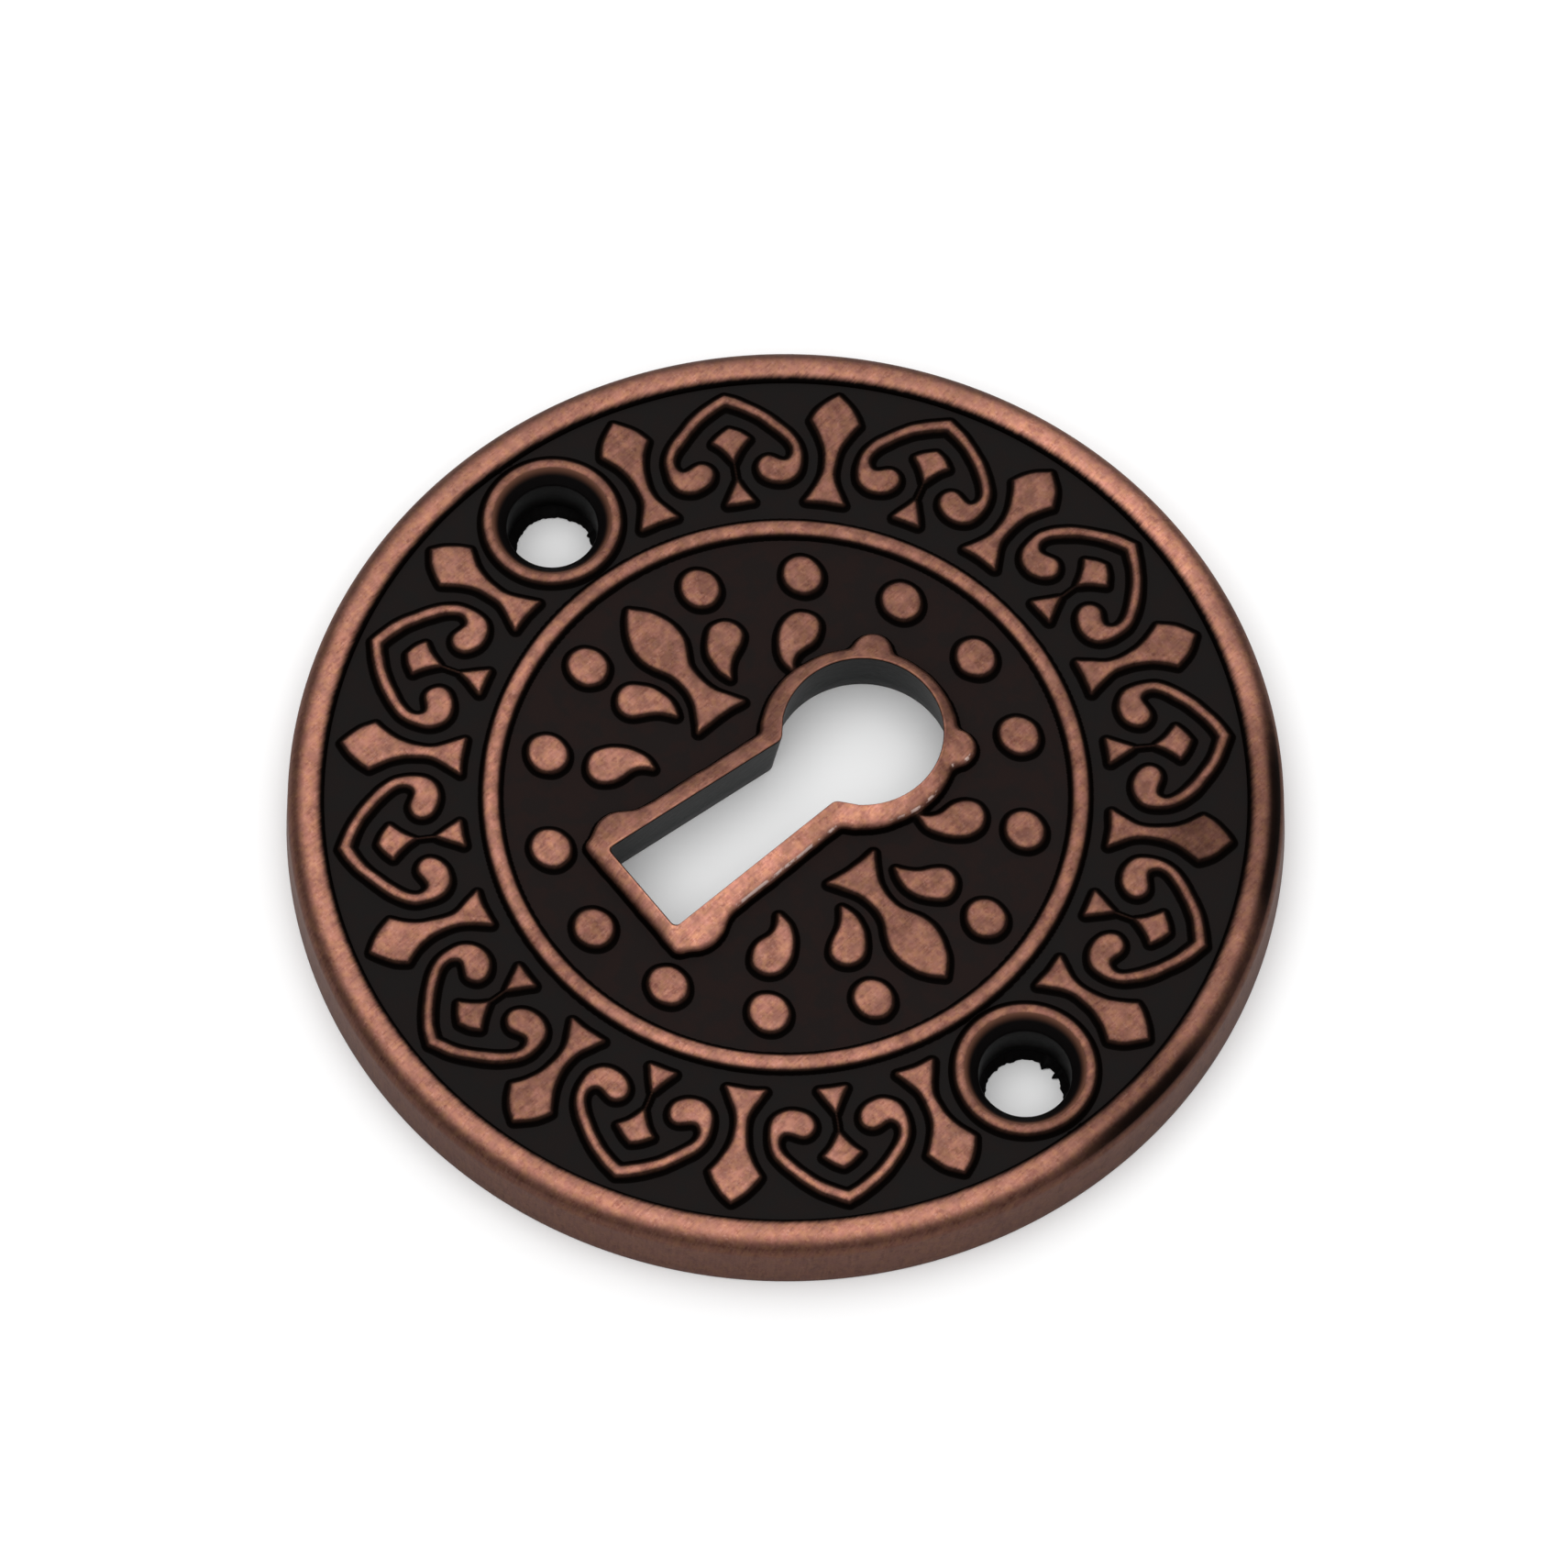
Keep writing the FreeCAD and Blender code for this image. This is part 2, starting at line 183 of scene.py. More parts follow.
# Colours of the finish
COPPER_DARK = (0.133, 0.054, 0.040)
COPPER_LIGHT = (0.226, 0.100, 0.068)
COPPER_PALE_SPECK = (0.27, 0.145, 0.112)
COPPER_DARK_SPECK = (0.11, 0.032, 0.023)
COPPER_GOLDEN = (0.235, 0.113, 0.062)
COPPER_ROSE = (0.182, 0.078, 0.063)
COPPER_DUSTY = (0.185, 0.094, 0.072)
# Pale colour of the nicks and of a painted highlight on the keyhole border's shoulder
CHIP_AND_GLINT_COLOUR = (0.78, 0.58, 0.52)
INNER_FIELD = (0.0138, 0.0085, 0.0078)
BAND_FIELD = (0.0103, 0.0079, 0.0075)
FIELD_CLOUD = (0.0079, 0.0083, 0.0082)
SIDE_BROWN = (0.0160, 0.0088, 0.0070)
# Black patina with painted shade along the foot of each raised shape
FOOT_PATINA_AND_SHADE = (0.0009, 0.0003, 0.0001)
BORE_TOP = (0.0022, 0.0016, 0.0016)
BORE_DEEP = (0.0012, 0.0010, 0.0010)
BORE_MOUTH = (0.115, 0.05, 0.032)
WALL_TOP = (0.0010, 0.0012, 0.0013)
WALL_DEEP = (0.0040, 0.0047, 0.0050)
BACK_BROWN = (0.0090, 0.0068, 0.0062)

# Uneven wear, painted highlights and painted shade, and a darker part of the rim. Compass directions are in
# degrees from +X.
DULL_RIM = 30              # the middle of the rim's dull part, with a less dull place inside it
DULL_RIM_GAP = 27
# Painted highlight: the rim brightens towards this direction
RIM_HIGHLIGHT_BEARING = 98
# Painted highlights: the copper brightens towards these two directions on the near side
RIGHT_HIGHLIGHT_BEARING = 318
LEFT_HIGHLIGHT_BEARING = 228
# Painted shade: the copper darkens slightly towards this direction
FAR_SHADE_BEARING = 85
# Painted reflection: the keyhole's border brightens towards this direction
BORDER_HIGHLIGHT_BEARING = -27     # the way in which the keyhole's border gets brighter
DULL_STEM = (14.8, 14.8, TOP_Z)


def smooth_curve(points, fineness=0.1):
    """Points along the smooth curve through the given ones."""
    p = np.array(points, float)
    if len(p) == 2:
        return p
    steps = np.hypot(*np.diff(p, axis=0).T)
    t = np.concatenate([[0], np.cumsum(steps)])
    n = len(p)
    a = np.eye(n)
    b = np.zeros((n, 2))
    for i in range(1, n - 1):
        a[i, i - 1:i + 2] = (steps[i - 1], 2 * (steps[i - 1] + steps[i]), steps[i])
        b[i] = 6 * ((p[i + 1] - p[i]) / steps[i] - (p[i] - p[i - 1]) / steps[i - 1])
    m = np.linalg.solve(a, b)
    u = np.linspace(0, t[-1], int(t[-1] / fineness) + 2)
    k = np.clip(np.searchsorted(t, u) - 1, 0, n - 2)
    h = steps[k][:, None]
    left = (t[k + 1] - u)[:, None]
    right = (u - t[k])[:, None]
    bend = (m[k] * left**3 + m[k + 1] * right**3) / (6 * h)
    return bend + (p[k] / h - m[k] * h / 6) * left + (p[k + 1] / h - m[k + 1] * h / 6) * right


def outline(runs):
    return np.concatenate([smooth_curve(run) for run in runs])


def outside(x, y, line, reach=1.2):
    """Distance from an outline at each point, negative inside. Far points get the reach.

    A half outline that starts and ends on the Y axis is read for points with positive x.
    """
    result = np.full(x.shape, reach)
    low, high = line.min(0) - reach, line.max(0) + reach
    near = (x > low[0]) & (x < high[0]) & (y > low[1]) & (y < high[1])
    px, py = x[near], y[near]
    best = np.full(px.shape, reach * reach)
    inside = np.zeros(px.shape, bool)
    for (ax, ay), (bx, by) in zip(line[:-1], line[1:]):
        dx, dy = bx - ax, by - ay
        length = dx * dx + dy * dy
        if length < 1e-12:
            continue
        t = np.clip(((px - ax) * dx + (py - ay) * dy) / length, 0, 1)
        best = np.minimum(best, (px - ax - t * dx)**2 + (py - ay - t * dy)**2)
        if ay != by:
            inside ^= ((ay > py) != (by > py)) & (px < ax + (py - ay) * dx / dy)
    result[near] = np.where(inside, -1, 1) * np.sqrt(best)
    return result


def soft_min(a, b, k):
    h = np.maximum(k - np.abs(a - b), 0) / k
    return np.minimum(a, b) - h * h * k / 4


def soft_max(a, b, k):
    return -soft_min(-a, -b, k)


def raised(distance):
    """Height above the field of a raised shape, by the distance outside its top outline."""
    ramp = (SLOPE - distance) / SLOPE * RELIEF
    return soft_max(soft_min(ramp, RELIEF, EDGE_ROUNDING), 0 * ramp, FOOT_ROUNDING)


def arc_points(centre, radius, start, end, count):
    a = np.radians(np.linspace(start, end, count))
    return np.stack([centre[0] + radius * np.cos(a), centre[1] + radius * np.sin(a)], 1)


def rounded_corner(before, corner, after, radius, count=8):
    """Points of the arc that rounds a corner."""
    before, corner, after = (np.array(p, float) for p in (before, corner, after))
    back = (before - corner) / np.linalg.norm(before - corner)
    ahead = (after - corner) / np.linalg.norm(after - corner)
    half = math.acos(np.clip(back @ ahead, -1, 1)) / 2
    middle = (back + ahead) / np.linalg.norm(back + ahead)
    centre = corner + middle * radius / math.sin(half)
    first = corner + back * radius / math.tan(half) - centre
    last = corner + ahead * radius / math.tan(half) - centre
    blend = np.linspace(0, 1, count)[:, None]
    ways = first * (1 - blend) + last * blend
    return centre + radius * ways / np.linalg.norm(ways, axis=1)[:, None]


def keyhole_half(sides, round_width, bottom_width, shift=0.0, along=18):
    """Right half of the keyhole's outline from its top to the middle of its bottom, spread outwards.

    Each part has its own spread, and the round end's centre moves down by the shift.
    """
    radius = KEY_RADIUS + round_width
    centre_y = KEY_ROUND_Y - shift
    tangent = np.array([radius * math.cos(KEY_NECK), centre_y - radius * math.sin(KEY_NECK)])
    bottom_y = KEY_BOTTOM_Y - bottom_width
    centre_x = KEY_HALF_WIDTH + sides
    bottom = np.array([centre_x - KEY_FLARE * bottom_y, bottom_y])
    slope = math.cos(KEY_NECK) / math.sin(KEY_NECK)
    neck_y = (centre_x - tangent[0] + slope * tangent[1]) / (slope + KEY_FLARE)
    neck = np.array([centre_x - KEY_FLARE * neck_y, neck_y])
    arc = arc_points((0, centre_y), radius, 90, -math.degrees(KEY_NECK), along * 2)
    neck_arc = rounded_corner(tangent, neck, bottom, KEY_ROUNDINGS[0])
    corner_arc = rounded_corner(neck, bottom, (0, bottom_y), KEY_ROUNDINGS[1])
    share = np.linspace(0, 1, along)[1:-1, None]
    side = neck_arc[-1] * (1 - share) + corner_arc[0] * share
    end = corner_arc[-1] * (1 - share) + np.array([0, bottom_y]) * share
    return np.concatenate([arc, neck_arc, side, corner_arc, end, [[0, bottom_y]]])


def keyhole_loop(spread):
    half = keyhole_half(spread, spread, spread)
    other = half[1:-1][::-1] * (-1, 1)
    return np.concatenate([half, other])


# Waves that make the casting slightly uneven: direction, length and phase of each
rng = np.random.default_rng(7)
WAVES = [(rng.uniform(0, math.pi), rng.uniform(0.9, 4.0), rng.uniform(0, math.tau)) for _ in range(14)]


def uneven(x, y, turn):
    """A slow random wobble, mostly between -1 and 1."""
    total = 0 * x
    for angle, length, phase in WAVES:
        a = angle + turn
        total += np.sin((x * math.cos(a) + y * math.sin(a)) * math.tau / length + phase + turn)
    return total / 4


def softened(z, passes):
    """Evens out a height grid, each pass with the next neighbours."""
    for _ in range(passes):
        around = np.roll(z, 1, 0) + np.roll(z, -1, 0) + np.roll(z, 1, 1) + np.roll(z, -1, 1)
        z = 0.4 * z + 0.15 * around
    return z


def border(x, y):
    """Height above the field of the keyhole's border, with its two knobs and two heels."""
    u = np.abs(x)
    lip = outside(u, y, keyhole_half(0, 0, 0), BORDER_REACH)
    shoulder = outside(u, y, keyhole_half(*SHOULDER), BORDER_REACH)
    knob = np.hypot(u - KNOB[0], y - KNOB[1]) - KNOB_RADIUS
    heel = outside(u, y, outline(HEEL), BORDER_REACH)
    shoulder = soft_min(soft_min(shoulder, knob, 0.3), heel, 0.3)
    width = np.maximum(lip - shoulder, 0.3)
    share = np.clip(1 + shoulder / width, 0, 1)
    face = LIP_Z - (LIP_Z - SHOULDER_Z) * share**1.1 - 0.5 * np.maximum(shoulder, 0)
    face = softened(face, BORDER_PASSES)
    skirt = SHOULDER_Z - (SHOULDER_Z - FIELD_Z) / SKIRT * shoulder
    z = np.minimum(soft_min(face, skirt, 0.22), LIP_Z)
    z = z - 0.5 * np.clip(0.12 - lip, 0, 0.12)**2 / 0.12
    return soft_max(z - FIELD_Z, 0 * z, FOOT_ROUNDING)


def inner_relief(x, y):
    u, v = np.abs(x), np.abs(y)
    z = border(x, y)
    z = np.maximum(z, raised(outside(v, u, outline(LEAF)[:, ::-1])))
    for drop in (LEAF_DROP, KEY_DROP):
        z = np.maximum(z, raised(outside(u, v, outline(drop))))
    for turn in DOT_TURNS:
        cx = DOT_CIRCLE * math.sin(math.radians(turn))
        cy = DOT_CIRCLE * math.cos(math.radians(turn))
        across = np.hypot((u - cx) / DOT_HALF[0], (v - cy) / DOT_HALF[1])
        z = np.maximum(z, raised((across - 1) * sum(DOT_HALF) / 2))
    return z


def band_relief(x, y):
    r = np.hypot(x, y)
    angle = np.arctan2(x, y)
    heart_number = np.round(angle / BAND_STEP)
    local = angle - heart_number * BAND_STEP
    u, v = np.abs(r * np.sin(local)), r * np.cos(local)
    z = 0 * x
    for shape in (HEART, DIAMOND, TRIANGLE):
        z = np.maximum(z, raised(outside(u, v, outline(shape))))
    start, end, half_width, height = LINK
    ridge = np.where((v > start) & (v < end), (1 - u / half_width) * height, -1)
    z = np.maximum(z, soft_max(ridge, 0 * v, 0.05))
    at_screw = np.abs(heart_number) == 3
    z = np.where(at_screw, 0, z)
    between = angle - BAND_STEP / 2
    local = between - np.round(between / BAND_STEP) * BAND_STEP
    u, v = np.abs(r * np.sin(local)), r * np.cos(local)
    return np.maximum(z, raised(outside(u, v, outline(STEM))))


def ring_bead(radius):
    """Height above the field of the round bead between the two fields."""
    size = (RING_HALF**2 + RELIEF**2) / (2 * RELIEF)
    return RELIEF - size + np.sqrt(np.maximum(size**2 - (radius - RING_RADIUS)**2, 0))


def relief(x, y):
    """Height of the face at each point."""
    wx = x + WOBBLE * uneven(x, y, 0.0)
    wy = y + WOBBLE * uneven(x, y, 1.7)
    r = np.hypot(x, y)
    outer = r >= RING_RADIUS
    z = np.where(outer, 0.0, inner_relief(wx, wy))
    z[outer] = band_relief(wx[outer], wy[outer])
    near_ring = np.abs(r - RING_RADIUS) < RING_HALF
    return FIELD_Z + np.where(near_ring, soft_max(z, ring_bead(r), 0.05), z)


def region(x, y):
    """Distance outside the part of the face that the height grid covers."""
    keyhole = LIP_EDGE - outside(np.abs(x), y, keyhole_half(0, 0, 0), 2.0)
    screw = BOSS_REACH - np.hypot(np.abs(x) - SCREW_X, y)
    return np.maximum(np.maximum(np.hypot(x, y) - RIM_FOOT, screw), keyhole)


def mesh_object(name, points, faces, material, normals=None):
    mesh = bpy.data.meshes.new(name)
    mesh.from_pydata((np.asarray(points, float) * MM).tolist(), [], [tuple(f) for f in faces])
    mesh.update()
    mesh.shade_smooth()
    if normals is not None:
        mesh.normals_split_custom_set_from_vertices(normals.tolist())
    obj = bpy.data.objects.new(name, mesh)
    bpy.context.scene.collection.objects.link(obj)
    mesh.materials.append(material)
    return obj


def face_pieces(material):
    """The carved face as fine meshes: the inner field, and the two halves of the band."""
    steps = int(RIM_FOOT / GRID) + 3
    line = np.arange(-steps, steps + 1) * GRID
    x, y = np.meshgrid(line, line)
    away = region(x, y)
    fy, fx = np.gradient(away, GRID)
    size = np.maximum(np.hypot(fx, fy), 1e-6)
    z = relief(x, y)
    zy, zx = np.gradient(z, GRID)

    # Points near the edge of the region move onto it
    edge_reach = 0.75 * GRID
    move = np.where(np.abs(away) < edge_reach, -away / size, 0)
    px, py = x + move * fx / size, y + move * fy / size
    z = z + zx * (px - x) + zy * (py - y)
    points = np.stack([px, py, z], -1).reshape(-1, 3)
    normals = np.stack([-zx, -zy, 0 * z + 1], -1).reshape(-1, 3)
    normals /= np.linalg.norm(normals, axis=1)[:, None]

    n = len(line)
    index = np.arange(n * n).reshape(n, n)
    cells = np.stack([index[:-1, :-1], index[:-1, 1:], index[1:, 1:], index[1:, :-1]], -1).reshape(-1, 4)
    cells = cells[(away.ravel()[cells] < edge_reach).all(1)]
    corner = points[cells]
    d1 = corner[:, 2] - corner[:, 0]
    d2 = corner[:, 3] - corner[:, 1]
    area = (d1[:, 0] * d2[:, 1] - d1[:, 1] * d2[:, 0]) / 2
    cells = cells[area > 0.1 * GRID * GRID]
    centre = points[cells].mean(1)
    r = np.hypot(centre[:, 0], centre[:, 1])
    groups = {
        "inner_field": r < RING_RADIUS,
        "band_right": (r >= RING_RADIUS) & (centre[:, 0] >= 0),
        "band_left": (r >= RING_RADIUS) & (centre[:, 0] < 0),
    }
    made = []
    for name, chosen in groups.items():
        used, faces = np.unique(cells[chosen], return_inverse=True)
        made.append(mesh_object(name, points[used], faces.reshape(-1, 4), material, normals[used]))
    return made


def strip(name, rows, material):
    """Quads between closed rows of points that have equal counts."""
    rows = np.array(rows, float)
    levels, count = rows.shape[:2]
    index = np.arange(levels * count).reshape(levels, count)
    after = np.roll(index, -1, axis=1)
    faces = np.stack([index[:-1], after[:-1], after[1:], index[1:]], -1)
    return mesh_object(name, rows.reshape(-1, 3), faces.reshape(-1, 4), material)


def circle(centre_x, radius, count):
    return arc_points((centre_x, 0), radius, 0, 360 - 360 / count, count)


def at_height(loop, z):
    return np.column_stack([loop, np.full(len(loop), z)])


def turned(name, profile, material, centre_x, count):
    """A surface of revolution about an upright axis, from radius and height pairs."""
    rows = [at_height(circle(centre_x, radius, count), z) for radius, z in profile]
    return strip(name, rows, material)


def quarter_round(foot_radius, foot_z, count):
    """From the upright foot of the rim's rounding to its level crown."""
    turns = np.linspace(0, math.pi / 2, count)
    radii = RIM_CROWN + (foot_radius - RIM_CROWN) * np.cos(turns)
    return list(zip(radii, foot_z + (TOP_Z - foot_z) * np.sin(turns)))


def rim(material):
    profile = [(RIM_FOOT - 0.12, FIELD_Z - 0.03), (RIM_FOOT - 0.02, FIELD_Z - 0.01)]
    profile += quarter_round(RIM_FOOT, FIELD_Z, 12)
    side_top = TOP_Z - RIM_STEP
    profile += quarter_round(FRONT_RADIUS, side_top, 16)[-2::-1]
    lean = PLATE_RADIUS - FRONT_RADIUS
    profile += [(PLATE_RADIUS - lean * z / side_top, z) for z in SIDE_LEVELS]
    profile += [(PLATE_RADIUS - BACK_CHAMFER / 4, BACK_CHAMFER / 2), (PLATE_RADIUS - BACK_CHAMFER, 0.0)]
    return turned("rim_and_side", profile, material, 0, RIM_COUNT)


def casting_flash(name, x, flash, material):
    """A thin ragged skin of metal around the back end of a screw hole."""
    base, bits = flash
    turns = np.arange(FLASH_COUNT)
    inner = np.full(FLASH_COUNT, base)
    for direction, depth, width in bits:
        off = (turns - direction + 180) % 360 - 180
        inner = inner - depth * np.maximum(1 - np.abs(off) / width, 0)**0.7
    wave = np.radians(turns)
    for number, size in FLASH_RIPPLES:
        inner = inner + size * np.sin(number * wave + number * (1 + x))
    rows = []
    for share, z in FLASH_PROFILE:
        radius = SCREW_HOLE + FLASH_ROOT + (inner - SCREW_HOLE - FLASH_ROOT) * share
        rows.append(at_height(np.column_stack([x + radius * np.cos(wave), radius * np.sin(wave)]), z))
    return strip(name, rows, material)


def keyhole_edge(material):
    """The lip's rounded edge, tucked a little under the face around it."""
    rows = [at_height(keyhole_loop(spread), z) for spread, z in LIP_PROFILE]
    return strip("keyhole_lip", rows, material)


def wall_loop(z):
    """The keyhole's outline at a height. The wall leans, and it has a chamfer at the back."""
    chamfer = WALL_CHAMFER if z == 0 else 0
    return keyhole_loop((LIP_Z - z) * WALL_LEAN - WALL_TUCK + chamfer)


def keyhole_wall(material):
    return strip("keyhole_wall", [at_height(wall_loop(z), z) for z in WALL_LEVELS], material)


def back_face(material):
    """The flat back with its three openings."""
    loops = [circle(0, PLATE_RADIUS - BACK_CHAMFER, RIM_COUNT), wall_loop(0)]
    loops += [circle(x, SCREW_HOLE + SCREW_CHAMFER, SCREW_COUNT) for x in (SCREW_X, -SCREW_X)]
    vectors = [[Vector((px, py, 0)) for px, py in loop] for loop in loops]
    points = [tuple(v) for loop in vectors for v in loop]
    faces = []
    for a, b, c in tessellate_polygon(vectors):
        pa, pb, pc = points[a], points[b], points[c]
        up = (pb[0] - pa[0]) * (pc[1] - pa[1]) - (pb[1] - pa[1]) * (pc[0] - pa[0])
        faces.append((a, c, b) if up > 0 else (a, b, c))
    return mesh_object("back_face", points, faces, material)


# Shader building

def new_material(name):
    material = bpy.data.materials.new(name)
    material.use_nodes = True
    material.node_tree.nodes.clear()
    return material, material.node_tree


def add(tree, kind, inputs=None, **settings):
    node = tree.nodes.new(kind)
    for key, value in settings.items():
        setattr(node, key, value)
    for key, value in (inputs or {}).items():
        if isinstance(value, bpy.types.NodeSocket):
            tree.links.new(value, node.inputs[key])
        else:
            node.inputs[key].default_value = value
    return node


def maths(tree, operation, a, b=0.0, c=0.0):
    return add(tree, "ShaderNodeMath", {0: a, 1: b, 2: c}, operation=operation).outputs[0]


def span(tree, value, low, high, to_low=0.0, to_high=1.0):
    node = add(tree, "ShaderNodeMapRange", {"Value": value, "From Min": low, "From Max": high,
                                            "To Min": to_low, "To Max": to_high})
    node.interpolation_type = "SMOOTHSTEP"
    return node.outputs[0]


def place_mm(tree):
    coordinates = add(tree, "ShaderNodeTexCoord").outputs["Object"]
    return add(tree, "ShaderNodeVectorMath", {0: coordinates, "Scale": 1000.0}, operation="SCALE").outputs[0]


def noise(tree, place, scale, detail=4.0):
    settings = {"Vector": place, "Scale": scale, "Detail": detail, "Roughness": 0.6}
    return add(tree, "ShaderNodeTexNoise", settings).outputs["Fac"]


def brush_lines(tree, place, direction, across, along):
    """Noise drawn out along a direction in the plate's plane, for fine brush lines."""
    straight = add(tree, "ShaderNodeVectorRotate", {"Vector": place, "Angle": -math.radians(direction)},
                   rotation_type="Z_AXIS").outputs[0]
    drawn = add(tree, "ShaderNodeVectorMath", {0: straight, 1: (along, across, 1.0)}, operation="MULTIPLY")
    return noise(tree, drawn.outputs[0], 1.0, 3.0)


def mixed_colour(tree, share, a, b):
    node = add(tree, "ShaderNodeMix", data_type="RGBA")
    for socket, value in ((0, share), (6, a), (7, b)):
        if isinstance(value, bpy.types.NodeSocket):
            tree.links.new(value, node.inputs[socket])
        else:
            node.inputs[socket].default_value = (*value, 1)
    return node.outputs[2]


def product(tree, *values):
    result = values[0]
    for value in values[1:]:
        result = maths(tree, "MULTIPLY", result, value)
    return result


def highest(tree, *values):
    result = values[0]
    for value in values[1:]:
        result = maths(tree, "MAXIMUM", result, value)
    return result


def adjusted(tree, value, factor, offset):
    """The value times the factor, plus the offset."""
    return maths(tree, "MULTIPLY_ADD", value, factor, offset)


def distance_along(tree, vector, direction):
    """How far a vector goes in a compass direction."""
    a = math.radians(direction)
    unit = (math.cos(a), math.sin(a), 0)
    return add(tree, "ShaderNodeVectorMath", {0: vector, 1: unit}, operation="DOT_PRODUCT").outputs["Value"]


def toward(tree, at, direction, low, high):
    """A share that rises to one where the place lies in a compass direction from the plate's centre."""
    return span(tree, distance_along(tree, at.bearing, direction), low, high)


def scaled(tree, colour, factor):
    return add(tree, "ShaderNodeVectorMath", {0: colour, "Scale": factor}, operation="SCALE").outputs[0]


def surface(tree, colour, roughness, specular, metallic, normal):
    inputs = {"Base Color": colour, "Roughness": roughness, "Metallic": metallic,
              "Specular IOR Level": specular, "Normal": normal}
    return add(tree, "ShaderNodeBsdfPrincipled", inputs).outputs[0]


def bumps(tree, height, strength, distance):
    inputs = {"Height": height, "Strength": strength, "Distance": distance}
    return add(tree, "ShaderNodeBump", inputs).outputs[0]


def surface_facts(tree):
    """What the finish depends on: the place in millimetres, the normal, and shared kinds of noise."""
    at = SimpleNamespace(place=place_mm(tree))
    at.x, at.y, at.z = add(tree, "ShaderNodeSeparateXYZ", {0: at.place}).outputs
    flat = add(tree, "ShaderNodeCombineXYZ", {0: at.x, 1: at.y}).outputs[0]
    at.radius = add(tree, "ShaderNodeVectorMath", {0: flat}, operation="LENGTH").outputs["Value"]
    at.bearing = add(tree, "ShaderNodeVectorMath", {0: flat}, operation="NORMALIZE").outputs[0]
    normal = add(tree, "ShaderNodeTexCoord").outputs["Normal"]
    at.normal_x, at.normal_y, at.normal_z = add(tree, "ShaderNodeSeparateXYZ", {0: normal}).outputs

    at.cloud = noise(tree, at.place, 0.7)
    at.grain = noise(tree, at.place, 9.0)
    fine = brush_lines(tree, at.place, 95, 10.0, 1.1)
    broad = brush_lines(tree, at.place, 101, 4.0, 0.6)
    at.lines = product(tree, maths(tree, "ADD", fine, broad), 0.5)
    at.ragged = adjusted(tree, at.grain, 0.03, -0.015)
    at.height = maths(tree, "ADD", at.z, at.ragged)

    from_ring = maths(tree, "ABSOLUTE", maths(tree, "SUBTRACT", at.radius, RING_RADIUS))
    at.near_ring = span(tree, from_ring, 0.5, 0.6, 1.0, 0.0)
    at.on_rim = span(tree, at.radius, 22.95, 23.0)
    return at


def relief_cover(tree, at):
    """How much copper shows on the ornament and the border: the brush missed low and steep places, and
    painted shade darkens the lip at the slot's bottom.
    """
    gentle = span(tree, maths(tree, "ADD", at.normal_z, at.ragged), 0.25, 0.6)
    high = highest(tree, span(tree, at.height, 3.39, 3.5), span(tree, at.height, 3.27, 3.43, 0.0, 0.12))
    # Painted shade: a dark line along the lip at the bottom of the slot
    painted_lip_shade = product(tree, span(tree, at.z, 3.9, 4.0), span(tree, at.normal_y, 0.0, 0.25),
                            span(tree, at.y, -9.0, -8.8, 1.0, 0.0))
    off_rim = maths(tree, "SUBTRACT", 1.0, at.on_rim)
    return product(tree, high, gentle, off_rim, adjusted(tree, painted_lip_shade, -0.8, 1.0))


def rim_cover(tree, at):
    """How much copper shows on the rim: it fades out towards the side, along the brush lines."""
    gap = toward(tree, at, DULL_RIM_GAP, 0.975, 0.997)
    dull = product(tree, toward(tree, at, DULL_RIM, 0.79, 0.91), adjusted(tree, gap, -0.4, 1.0))
    dull = product(tree, dull, span(tree, at.radius, 23.8, 24.3, 0.52, 0.96),
                   span(tree, at.radius, 24.6, 24.8, 1.0, 0.0))
    ragged_start = maths(tree, "ADD", at.radius, adjusted(tree, at.lines, 0.2, -0.1))
    ragged_end = maths(tree, "ADD", at.radius, adjusted(tree, at.lines, 0.6, -0.3))
    start = span(tree, ragged_start, 23.12, 23.5)
    end = span(tree, ragged_end, 23.95, 24.5, 1.0, 0.3)
    return product(tree, start, end, at.on_rim, maths(tree, "SUBTRACT", 1.0, dull))


def brushed_copper(tree, at):
    """The copper's own colours: brush lines, specks, and warmer and cooler patches."""
    speckle = noise(tree, at.place, 6.5)
    golden = noise(tree, at.place, 2.6, 2.0)
    rose = noise(tree, at.place, 1.7, 2.0)
    colour = mixed_colour(tree, span(tree, at.lines, 0.36, 0.64), COPPER_DARK, COPPER_LIGHT)
    colour = mixed_colour(tree, span(tree, speckle, 0.5, 0.7, 0.0, 0.5), colour, COPPER_PALE_SPECK)
    colour = mixed_colour(tree, span(tree, speckle, 0.3, 0.46, 0.5, 0.0), colour, COPPER_DARK_SPECK)
    colour = mixed_colour(tree, span(tree, golden, 0.44, 0.6, 0.0, 0.5), colour, COPPER_GOLDEN)
    colour = mixed_colour(tree, span(tree, rose, 0.44, 0.58, 0.0, 0.45), colour, COPPER_ROSE)
    return mixed_colour(tree, span(tree, at.cloud, 0.4, 0.7, 0.0, 0.25), colour, COPPER_DUSTY)


def polish_and_highlight(tree, at):
    """How much brighter the most rubbed places are: the rim, the ring and the border. The rim's extra
    brightening towards one compass direction is a painted highlight.
    """
    # Painted highlight on the rim towards one direction, on top of its polish
    rim_highlight_share = toward(tree, at, RIM_HIGHLIGHT_BEARING, 0.93, 0.985)
    rim_polish_and_highlight = product(tree, at.on_rim, adjusted(tree, rim_highlight_share, 0.7, 0.6))
    ring_shine = product(tree, at.near_ring, 0.15)
    border_shine = maths(tree, "ADD", span(tree, at.z, 3.52, 3.6, 0.0, 0.45),
                         span(tree, at.z, 3.6, 4.08, 0.0, 0.4))
    shine = highest(tree, maths(tree, "ADD", ring_shine, rim_polish_and_highlight), border_shine)
    return maths(tree, "ADD", shine, 1.0)


